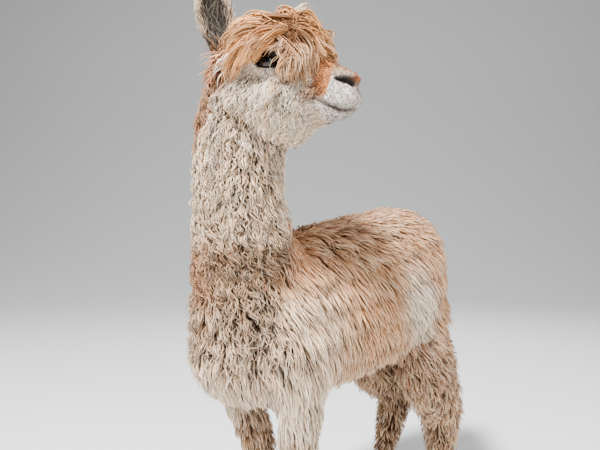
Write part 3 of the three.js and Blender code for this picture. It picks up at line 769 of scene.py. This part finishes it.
def grow_locks(name, chance, count, seed, rings=5, tips=0.45, slot="fleece_cream", **changes):
    """A piece of coat: `count` locks as slender three-sided spindles, every sixth of them a chief that its
    neighbours lean to. A lock's middle line leaves the skin at P along the outward direction N and bends into the
    lie T: P + T L s + N (rise (1 - (1 - s)^2.2) - k (L s)^2 / 2) at the share s of its length L, with k the skin's
    own bend along T, and a curl about that line. Its half width swells and then runs out to the tip."""
    point, outward, bend, rng = roots(chance, count, seed)
    values = style(point)
    values.update({key: np.full(count, value) for key, value in changes.items()})
    vary = rng.uniform(0.75, 1.25, count)
    loose = values["loose"][:, None]
    flow = lie(point) + np.stack([sway(point, 0.06, seed + k) for k in range(3)], axis=1) * loose
    flow += rng.normal(size=(count, 3)) * loose * 0.45
    along = unit(flow - outward * dot(flow, outward)[:, None])
    across = np.cross(outward, along)
    s = np.linspace(0, 1, rings + 1)[None]
    reach = (values["length"] * vary)[:, None] * s
    bow = np.clip(dot(np.einsum("nij,nj->ni", bend, along), along), -6, 9)[:, None]
    rise = (coat_depth(point) * values["stand"] * rng.uniform(0.45, 1.1, count))[:, None]
    rise = rise * (1 - (1 - s) ** 2.2) - ROOTED - bow * reach**2 / 2
    phase = (6 * sway(point, 0.05, seed + 5) + rng.uniform(0, 2.4, count))[:, None]
    turn = phase + 2 * math.pi * (values["turns"] * rng.uniform(0.85, 1.15, count))[:, None] * s
    curl = (values["curl"] * rng.uniform(0.5, 1.4, count))[:, None] * s**0.7
    line = (point[:, None] + along[:, None] * reach[..., None] + across[:, None] * (curl * np.sin(turn))[..., None]
            + outward[:, None] * (rise + curl * np.cos(turn) * 0.7)[..., None])
    chief = np.arange(0, count, 6)
    chief = chief[np.argmin((point[chief] ** 2).sum(axis=1) - 2 * point @ point[chief].T, axis=1)]
    line += (line[chief] - line) * (values["clump"][:, None] * s**1.3)[..., None]
    half = (values["width"] * rng.uniform(0.7, 1.2, count) / 2)[:, None]
    half = half * (0.55 + 0.75 * np.sin(math.pi * s**0.7)) * (1 - s**2.5)
    points = corners_round(line, across[:, None], outward[:, None], half, 0.7)
    points[..., 2] = np.maximum(points[..., 2], FLOOR_GAP)
    own = rng.uniform(0, 1, count)
    tone = markings(point) * (1 + values["vary"] * (0.2 - (0.45 * own + 0.55 * own[chief]) ** 1.3))[:, None]
    tone = blend(tone, tone * (FAWN / CREAM), rng.uniform(-0.6, 0.7, count))
    where = way_up(rings)
    # Painted shade: each lock darker and warmer towards its root, as deep in the coat.
    colours = tone[:, None] * (0.15 + 0.93 * where**0.8)[:, None] ** np.array((1.0, 1.1, 1.2))
    paler = (tips * where**2)[None, :, None] * rng.uniform(0.3, 1.4, (count, 1, 1))
    colours = colours + (CREAM * 1.05 - colours) * paler
    piece = locks_piece(name, points, colours, point, rings)
    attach(piece, "root")
    return piece


ROOTED, FLOOR_GAP = 0.0015, 0.001  # how deep a lock is rooted, and how far the coat stays off the floor
wool = fur("wool", 420.0, 0.0008, 0.16, 0.7)
zone = regions(middles)
ears = np.zeros(len(middles), bool)
for side in EARS:
    share, reach, _ = on_ear(middles, side)
    ears |= (share > 0.1) & (reach < 0.045)
body = (1 - zone["head"]) * (1 - zone["neck"]) * (1 - zone["shank"]) * ~ears
left = middles[:, 0] + ORIGIN[0] > 0
back = middles[:, 1] + ORIGIN[1] > 0.02
shanks = zone["shank"] * (1 - 0.7 * zone["foot"])
face = zone["head"] * ~ears
hx, hy, hz = head_frame(middles).T
folded = mirrored(head_frame(middles))
eyelids = (opening(folded) < 1.25) & (np.abs(hy) > 0.03)
bare = eyelids | (nostril(folded) < 1.5) | (near_path(folded, MOUTH) < 0.0045)
for number, (name, chance, count) in enumerate((
        ("fleece_left_fore", body * left * ~back, 5000), ("fleece_left_hind", body * left * back, 5000),
        ("fleece_right_fore", body * ~left * ~back, 5000), ("fleece_right_hind", body * ~left * back, 5000),
        ("fleece_neck_left", zone["neck"] * (hy > 0) * ~ears, 3300),
        ("fleece_neck_right", zone["neck"] * (hy <= 0) * ~ears, 3300),
        ("fleece_shanks_left", shanks * left, 3200), ("fleece_shanks_right", shanks * ~left, 3200))):
    rings, tips, slot = {"neck": (8, 0.2, "fleece_cream"), "shanks": (5, 0.75, "fleece_brown")}.get(
        name.split("_")[1], (4, 0.55, "fleece_fawn"))
    grow_locks(name, chance, count, 20 + 7 * number, rings=rings, tips=tips, slot=slot)
crest = (crest_facing(middles) > 0.4) * smooth(middles[:, 2], 0.94, 1.1) * ~ears
crest = crest + 1.5 * smooth(-hx, 0.04, 0.07) * smooth(hz, -0.02, 0.03) * face
grow_locks("fleece_crest", crest, 950, 83, rings=6, length=0.05, width=0.005, curl=0.006, stand=1.7, loose=0.6,
           tips=0.2)
grow_locks("fur_feet", zone["foot"], 1500, 86, rings=3, slot="fleece_brown")
curls = patch(hx, hz, (0.083, -0.060), (0.023, 0.011), 2) * face * ~bare
cheeks = face * (1 - smooth(hx, 0.05, 0.085)) * (1 - smooth(hz, -0.035, -0.015)) * (1 - curls) * ~bare
grow_locks("fleece_lip_curls", curls, 150, 125, rings=7, slot="fleece_brown", length=0.017, width=0.0042, curl=0.005,
           turns=1.2, stand=0.8, loose=0.7, clump=0.2, tips=0.35)
grow_locks("fleece_cheeks", cheeks, 2500, 90, rings=9, tips=0.75)
short = face * ~bare * (0.25 + 0.75 * smooth(hx, -0.02, 0.03)) * (1 - 0.7 * smooth(hx, 0.1, 0.12))
grow_locks("fur_face", short, 5800, 97, rings=3, tips=0.12)
grow_locks("fur_ears", ears * 1.0, 3000, 104, rings=4, slot="fur_grey", tips=0.03)
hollow, rim = 0.0, 0.0
for side in EARS:
    share, reach, facing = on_ear(middles, side)
    hollow = hollow + ((facing > 0.0005) & (share > 0.05) & (reach < 0.04)) * 1.0
    rim = rim + np.exp(-((reach - 0.027) / 0.004) ** 2)
grow_locks("ear_wisps", hollow * ears, 190, 111, rings=7, slot="fur_grey", length=0.040, width=0.0020, curl=0.0035,
           turns=0.8, stand=0.7, loose=0.5, tips=0.25)
grow_locks("ear_fringe", rim * ears, 700, 118, rings=5, slot="fur_grey", length=0.021, width=0.0022, curl=0.0015,
           turns=1.0, stand=0.5, loose=0.5, tips=0.25)

# ---- Topknot --------------------------------------------------------------------------------------------------
# The long loose hair of the crown: wavy locks in clumps that part over the forehead and fall all round, over the
# nose's bridge, beside and above the eyes and back towards the ears. It stands for the cap of the solids.

# The right side's locks, forehead to nape and then over the crown: four points of each in the head's frame, in mm.
falls = np.array([
    [(42, -56, 56), (58, -32, 81), (84, -12, 66), (110, -4, 34)],
    [(46, -58, 52), (68, -38, 70), (92, -22, 48), (114, -10, 14)],
    [(48, -60, 48), (74, -46, 50), (96, -30, 24), (115, -22, -8)],
    [(52, -60, 46), (76, -52, 34), (90, -42, 4), (97, -42, -36)],
    [(52, -61, 42), (70, -60, 20), (79, -56, -12), (82, -53, -48)],
    [(50, -63, 40), (62, -64, 14), (68, -62, -18), (70, -58, -58)],
    [(48, -63, 40), (58, -66, 14), (54, -68, -12), (43, -69, -44)],
    [(46, -63, 40), (50, -68, 14), (44, -74, -12), (38, -73, -40)],
    [(42, -63, 42), (41, -74, 22), (33, -81, 0), (30, -80, -24)],
    [(36, -64, 46), (28, -78, 36), (17, -84, 26), (5, -87, 17)],
    [(34, -65, 48), (14, -82, 36), (-6, -88, 18), (-24, -89, -2)],
    [(34, -64, 50), (8, -81, 40), (-22, -89, 16), (-46, -89, -24)],
    [(34, -63, 52), (2, -79, 48), (-40, -87, 22), (-68, -88, -40)],
    [(34, -62, 50), (-4, -75, 56), (-54, -86, 32), (-82, -82, -40)],
    [(34, -60, 52), (-6, -70, 67), (-58, -80, 58), (-84, -75, 2)],
    [(34, -60, 53), (-6, -59, 81), (-54, -68, 79), (-80, -64, 50)],
    [(34, -59, 55), (-6, -45, 91), (-54, -48, 92), (-102, -50, 58)],
    [(32, -58, 57), (-12, -29, 95), (-64, -28, 96), (-122, -30, 50)],
    [(28, -57, 59), (-24, -12, 96), (-80, -8, 90), (-132, -12, 36)],
    [(30, -58, 58), (6, -22, 94), (-10, 14, 97), (-28, 48, 84)],
    [(36, -58, 56), (26, -20, 92), (26, 16, 91), (36, 48, 68)],
    [(42, -58, 54), (46, -22, 85), (60, 8, 79), (86, 26, 44)],
    [(-24, -64, 78), (6, -68, 70), (36, -68, 56), (62, -64, 36)],
    [(62, -54, 62), (38, -66, 60), (4, -77, 52), (-32, -86, 36)]]) / 1000


def fan(share):
    """The lock paths at each share, 0 to 1, of the way from the first row of `falls` to the last."""
    at = np.clip(share, 0, 1) * (len(falls) - 1.001)
    low, part = at.astype(int), (at % 1)[:, None, None]
    return falls[low] * (1 - part) + falls[low + 1] * part


def cut_short(line, end):
    """Lines whose steps are spread anew over the stretch up to the step `end` (their last where it is the number of
    rings)."""
    low = np.minimum(np.maximum(end, 0).astype(int), line.shape[1] - 2)
    first = np.take_along_axis(line, low[..., None], axis=1)
    return first + (np.take_along_axis(line, low[..., None] + 1, axis=1) - first) * (end - low)[..., None]


clumps, strands, rings = 180, 9, 10
count = clumps * strands
heart = np.array((0.0, 0.0, 0.01))  # the middle of the crown, which the layers of hair are scaled from
t = np.linspace(0, 1, rings + 1)[None]
where = way_up(rings)
cubic = np.stack([(1 - 3 * t) * (2 - 3 * t) * (1 - t) / 2, 9 * t * (2 - 3 * t) * (1 - t) / 2,
                  9 * t * (3 * t - 1) * (1 - t) / 2, t * (3 * t - 1) * (3 * t - 2) / 2], axis=-1)[0]
for side_name, side, seed in (("right", 1.0, 5), ("left", -1.0, 6)):
    rng = np.random.default_rng(seed)
    # Each clump's path: drawn from the table, loosened, layered in and out, and some of it stray or shorter.
    share = (np.arange(clumps) + rng.uniform(0, 1, clumps)) / clumps
    shape = fan(share)
    shape[:, 0] += rng.normal(0, 0.011, (clumps, 3))
    shape[:, 1:] += fan(share + rng.normal(0, 0.036, clumps))[:, 1:] - shape[:, 1:]
    shape += rng.normal(0, 0.0050, shape.shape)
    layer = 1.05 - 0.2 * rng.uniform(0, 1, clumps) ** 0.7
    layer = layer + 0.2 * rng.uniform(0.3, 1, clumps) * (rng.uniform(0, 1, clumps) > 0.9)
    layers = np.stack([layer * 0.5 + 0.5, layer, layer * 0.5 + 0.5], axis=1)[:, None]
    shape[:, 1:] = heart + (shape[:, 1:] - heart) * layers
    stray = (rng.uniform(0, 1, clumps) > 0.93)[:, None, None] * np.array([0.3, 0.7, 1.0])[:, None]
    shape[:, 1:] += stray * (rng.normal(0, 0.012, (clumps, 1, 3)) + (0.0, -0.004, 0.010))
    shape[:, 3] += (shape[:, 2] - shape[:, 3]) * (rng.uniform(0, 1, clumps) ** 4 * 0.7)[:, None]
    eye_side = np.exp(-(((shape[:, 2:, 0] + 0.001) / 0.022) ** 4))
    shape[:, 2:, 2] = np.maximum(shape[:, 2:, 2], 0.017 * eye_side - 0.08 * (1 - eye_side))
    # Each strand of the clumps: the curve through its clump's four points, spread and rippled.
    phase, wave, tint = rng.uniform(0, 6.28, clumps), rng.uniform(0.002, 0.0075, clumps), rng.uniform(0, 1, clumps)
    share, shape, phase, wave, tint = [np.repeat(value, strands, axis=0) for value in (share, shape, phase, wave, tint)]
    spread = rng.normal(0, 0.0040, (count, 1, 3)) * (0.6 + 0.7 * np.sin(math.pi * t) - 0.3 * t)[..., None]
    line = np.einsum("rk,nkc->nrc", cubic, shape) + spread
    ripple = (wave * rng.uniform(0.7, 1.3, count))[:, None] * t
    turn = phase[:, None] + rng.normal(0, 0.4, (count, 1)) + 10 * t
    line += np.stack([ripple * np.sin(turn), ripple * np.cos(turn) * 0.7,
                      ripple * np.sin(turn * 0.8 + 1.3) * 0.7], axis=-1)
    # Nearly all that would hang over the eye end above it.
    ahead_of_eye, above_eye = line[..., 0] - 0.005 + 0.47 * (line[..., 1] + 0.068), line[..., 2] + 0.003
    over = np.abs(above_eye + 0.004) < np.minimum(0.014, 0.016 + 0.735 * ahead_of_eye)
    over &= (np.abs(ahead_of_eye + 0.001) < 0.026) & (line[..., 1] < -0.05) & (rng.uniform(0, 1, (count, 1)) > 0.05)
    line = cut_short(line, np.where(over.any(axis=1), over.argmax(axis=1) - 0.8, rings)[:, None] * t)
    line[..., 1] *= side
    ahead = unit(np.gradient(line, axis=1))
    sideways = unit(np.cross(ahead, unit(line - heart)))
    away = np.cross(sideways, ahead)
    half = rng.uniform(0.0012, 0.0026, (count, 1)) * (0.45 + 0.75 * np.sin(math.pi * t**0.8)) * (1 - t**3)
    points = on_head(corners_round(line, sideways[:, :-1], away[:, :-1], half, 0.8).reshape(-1, 3))
    row = share * (len(falls) - 1)
    pale = np.interp(row, (1, 2.5, 3.5, 5, 6, 7, 8.4, 9.4), (0.03, 0.2, 0.35, 0.25, 0.1, 0.7, 0.6, 0.05))
    tone = layered(ORANGE, (SORREL, tint * 0.6), (TAN, rng.uniform(0, 0.35, count)))
    bright = (0.56 + 0.3 * np.sin(9 * tint) + rng.uniform(0, 0.42, count)) * np.interp(row, (7, 10), (0.86, 1.15))
    tone = blend(tone, CREAM, pale * rng.uniform(0.1, 1, count))
    # Painted shade: each strand darker and warmer towards its root, as deep in the hair.
    colours = tone[:, None] * (0.3 + 0.8 * where)[:, None] ** np.array((1.0, 1.15, 1.3)) * bright[:, None, None]
    paler = (0.08 + 0.5 * pale) * rng.uniform(0, 1.4, count)
    colours = colours + (CREAM - colours) * (where**2)[None, :, None] * paler[:, None, None]
    topknot = locks_piece("topknot_" + side_name, points, colours, on_head(line[:, 3]), rings)
    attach(topknot, "root")
    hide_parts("topknot")

# ---- Eyes -----------------------------------------------------------------------------------------------------
# Large wet dark eyeballs with a brown iris and a pupil that lies level, each behind a black rim of eyelid with
# stiff lashes along its upper edge.

def tube_map(points, faces, around):
    """A tube's flat map at each corner of its faces: its rings run across it and its length up it."""
    order = np.arange(len(points))
    u, v = order % around / around, order // around / (len(points) // around)
    u[-2:], v[-2:] = 0.5, (0.0, 1.0)
    u = u[faces]
    u = np.where(np.ptp(u, axis=1)[:, None] > 0.5, u + (u < 0.5), u)
    return np.stack([u, v[faces]], axis=-1).reshape(-1, 2)


wet = bpy.data.materials.new("eye")
wet.use_nodes = True
tint = node(wet.node_tree, "ShaderNodeAttribute", attribute_name="Iris").outputs["Color"]
fleck = node(wet.node_tree, "ShaderNodeTexNoise", {"Scale": 900.0, "Detail": 2.0, "Vector": node(
    wet.node_tree, "ShaderNodeTexCoord").outputs["Object"]})
level = node(wet.node_tree, "ShaderNodeMapRange", {"Value": fleck.outputs["Fac"], "To Min": 0.6, "To Max": 1.4})
iris = node(wet.node_tree, "ShaderNodeVectorMath", {0: tint, 1: level.outputs["Result"]}, operation="MULTIPLY")
shader = wet.node_tree.nodes["Principled BSDF"]
wet.node_tree.links.new(iris.outputs["Vector"], shader.inputs["Base Color"])
shader.inputs["Roughness"].default_value = 0.06
shader.inputs["Specular IOR Level"].default_value = 0.28
shader.inputs["Coat Weight"].default_value = 0.15

for side in (1, -1):
    word = "left" if side > 0 else "right"
    centre = EYE * (1, side, 1)
    gaze = unit(np.array((0.22, side, 0.02)))
    level_line = unit(np.cross((0, 0, 1.0), gaze) * side)
    points, faces = ellipsoid(centre, np.array((level_line, np.cross(gaze, level_line), gaze)), (EYE_RADIUS,) * 3, 64)
    away = unit(points - centre)
    from_gaze = np.degrees(np.arccos(np.clip(dot(away, gaze), -1, 1)))
    points = points + away * (0.0010 * np.exp(-(from_gaze / 32) ** 4))[:, None]
    pupil = np.hypot(dot(away, level_line) / 0.5, away[:, 2] / 0.27)
    colours = layered(srgb(38, 22, 14), (srgb(6, 5, 6), 1 - smooth(pupil, 0.85, 1.1)),
                      (srgb(22, 15, 12), smooth(from_gaze, 38, 48)))
    eyeball = new_mesh("eyeball_" + word, on_head(points), faces)
    stain(eyeball, "Iris", colours)
    eyeball.data.materials.append(wet)
    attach(eyeball, "root")
    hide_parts("eye_" + word)

rims, RIM_AROUND = [], 10
for side in (1, -1):
    t = np.linspace(0, 2 * math.pi, 72)
    a = 0.0232 * np.cos(t)
    c = 0.0142 * np.sin(t) - 0.12 * a
    b = np.sqrt((EYE_RADIUS + 0.0015) ** 2 - np.minimum(a**2 + c**2, 0.00049))
    rim = (np.stack([a, b, c], axis=1) + (0, EYE[1], EYE[2])) * (1, side, 1)
    away = unit(rim - EYE * (1, side, 1))
    rims.append(loft(rim, np.cross(unit(np.gradient(rim, axis=0)), away), away, 0.0017, 0.0013, around=RIM_AROUND))
rim_points, rim_faces = join(rims)
eyelids = new_mesh("eyelid_rims", on_head(rim_points), rim_faces)
paint(eyelids, np.tile(INK, (len(rim_points), 1)), np.vstack(
    [tube_map(*rim, RIM_AROUND) * (0.45, 1) + (0.5 * number, 0) for number, rim in enumerate(rims)]))
eyelids.data.materials.append(fur("eyelid", 1500.0, 0.0002, 0.2, 0.4))
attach(eyelids, "root")

# The lashes: short bent spindles along both upper lids. Some 20 of the 180, nearest the corners of the eyes, fall
# outside the sphere they are rooted on, so their points come out as nan and they do not show.
rng = np.random.default_rng(8)
count, rings = 180, 5
side = np.where(np.arange(count) % 2, 1.0, -1.0)
t = np.radians(rng.uniform(8, 172, count))
a, c = 0.0235 * np.cos(t), 0.0148 * np.sin(t) - 0.12 * 0.0235 * np.cos(t)
root = np.stack([a, EYE[1] + np.sqrt((EYE_RADIUS + 0.002) ** 2 - a**2 - c**2), c + EYE[2]], axis=1)
out = unit(root - EYE + np.stack([a * 0.8, 0 * a + 0.012, 0 * a + 0.002], axis=1))
s = np.linspace(0, 1, rings + 1)[None, :, None]
length = rng.uniform(0.012, 0.021, (count, 1, 1))
line = root[:, None] + out[:, None] * length * s + np.array((0.0, 0.2, -0.9)) * length * (0.9 * s**2 - 0.35 * s)
line = line * np.stack([np.ones(count), side, np.ones(count)], axis=1)[:, None]
half = 0.00045 * (1 - s[..., 0] ** 2)
level, upright = np.array((1.0, 0, 0))[None, None], np.array((0, 0, 1.0))[None, None]
points = on_head(corners_round(line, level, upright, half, 1.0).reshape(-1, 3))
faces = spindles(count, rings)
base = on_head(line[:, 0])
flat = np.repeat(unwrap(base, base), rings * 3 + 1, axis=0) + rng.uniform(-0.0015, 0.0015, (len(points), 2))
lashes = new_mesh("lashes", points, faces)
paint(lashes, np.tile(INK, (len(points), 1)) * 1.5, flat[faces.ravel()])
lashes.data.materials.append(wool)
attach(lashes, "root")

# ---- Toenails -------------------------------------------------------------------------------------------------
# Two blunt nails of dark horn on each foot, rooted in the toes and curved down over their front. Each is an oval
# carried along a curve and drawn in to its point, with fine growth rings.

NAIL_ROWS, NAIL_AROUND = 40, 24
horn = fur("horn", 350.0, 0.0003, 0.35, 0.42)
for foot, (x, y) in {"forefoot_left": (0.092, -0.301), "forefoot_right": (-0.080, -0.257),
                     "hindfoot_left": (0.103, 0.265), "hindfoot_right": (-0.079, 0.233)}.items():
    for side, word in ((1, "left"), (-1, "right")):
        path = through([(0.018, -0.034, 0.021, 0.0108, 0.0110), (0.0185, -0.052, 0.0190, 0.0102, 0.0106),
                        (0.019, -0.068, 0.0130, 0.0072, 0.0078), (0.019, -0.0815, 0.0060, 0.0020, 0.0024)], NAIL_ROWS)
        line = path[:, :3] * (side, 1, 1) + (x, y, 0) - ORIGIN
        wide, thick = path[:, 3:].T * (1 + 0.012 * np.sin(np.linspace(0, 60, NAIL_ROWS)))
        across = np.tile((1.0, 0, 0), (NAIL_ROWS, 1))
        deep = np.cross(across, unit(np.gradient(line, axis=0)))
        points, faces = loft(line, across, deep, wide, thick, around=NAIL_AROUND)
        points[:, 2] = np.maximum(points[:, 2], 0.0015)
        nail = new_mesh(f"toenail_{foot}_{word}", points, faces)
        colours = blend(srgb(66, 54, 46), srgb(122, 104, 88), smooth(-points[:, 1], -y + 0.09, -y + 0.13))
        paint(nail, colours, tube_map(points, faces, NAIL_AROUND))
        nail.data.materials.append(horn)
        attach(nail, "root")
        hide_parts(f"{foot}_nail_{word}")

# ---- Camera, light and floor ----------------------------------------------------------------------------------
# A camera at an adult's chest height, a pale paper floor that sweeps up behind, and soft studio light: a key from
# above and in front, a broad fill and a low rim from behind.

camera = bpy.data.objects.new("camera", bpy.data.cameras.new("camera"))
camera.data.lens, camera.data.sensor_width, camera.data.clip_end = 32.4, 36, 50
camera.location = np.array((0.933, -1.117, 0.9)) - ORIGIN
camera.rotation_euler = (math.radians(90 - 0.85), 0, math.radians(45))
bpy.context.scene.collection.objects.link(camera)
bpy.context.scene.camera = camera

u, v = np.meshgrid(np.linspace(-9, 9, 61), np.linspace(0, 1, 61))
run = v * 16 - 6
rise = np.where(run > 4, 6 - np.sqrt(np.maximum(36 - np.clip(run - 4, 0, 6) ** 2, 0)), 0)
turn = math.radians(45)
sweep = np.stack([u * math.cos(turn) - run * math.sin(turn), u * math.sin(turn) + run * math.cos(turn), rise], axis=-1)
i, j = np.meshgrid(np.arange(60), np.arange(60), indexing="ij")
quads = np.stack([i * 61 + j, i * 61 + j + 1, (i + 1) * 61 + j + 1, (i + 1) * 61 + j], axis=-1).reshape(-1, 4)
floor = new_mesh("floor", sweep.reshape(-1, 3), quads)
paper = bpy.data.materials.new("floor")
paper.use_nodes = True
shader = paper.node_tree.nodes["Principled BSDF"]
shader.inputs["Base Color"].default_value = (0.72, 0.73, 0.74, 1)
shader.inputs["Roughness"].default_value = 0.9
floor.data.materials.append(paper)

world = bpy.data.worlds.new("studio")
world.use_nodes = True
sky = world.node_tree.nodes["Background"]
sky.inputs["Color"].default_value = (1.0, 0.985, 0.96, 1)
sky.inputs["Strength"].default_value = 0.29
bpy.context.scene.world = world
for name, place, power, size in (("key", (0.6, -2.4, 4.4), 1020, 0.6), ("fill", (3.4, -1.4, 1.8), 150, 2.5),
                                 ("rim", (-1.5, 2.8, 2.6), 60, 1.5)):
    lamp = bpy.data.objects.new(name, bpy.data.lights.new(name, "AREA"))
    lamp.data.energy, lamp.data.size = power, size
    lamp.location = place
    lamp.rotation_euler = (-(lamp.location - Vector((0, 0, 0.7)))).to_track_quat("-Z", "Y").to_euler()
    bpy.context.scene.collection.objects.link(lamp)
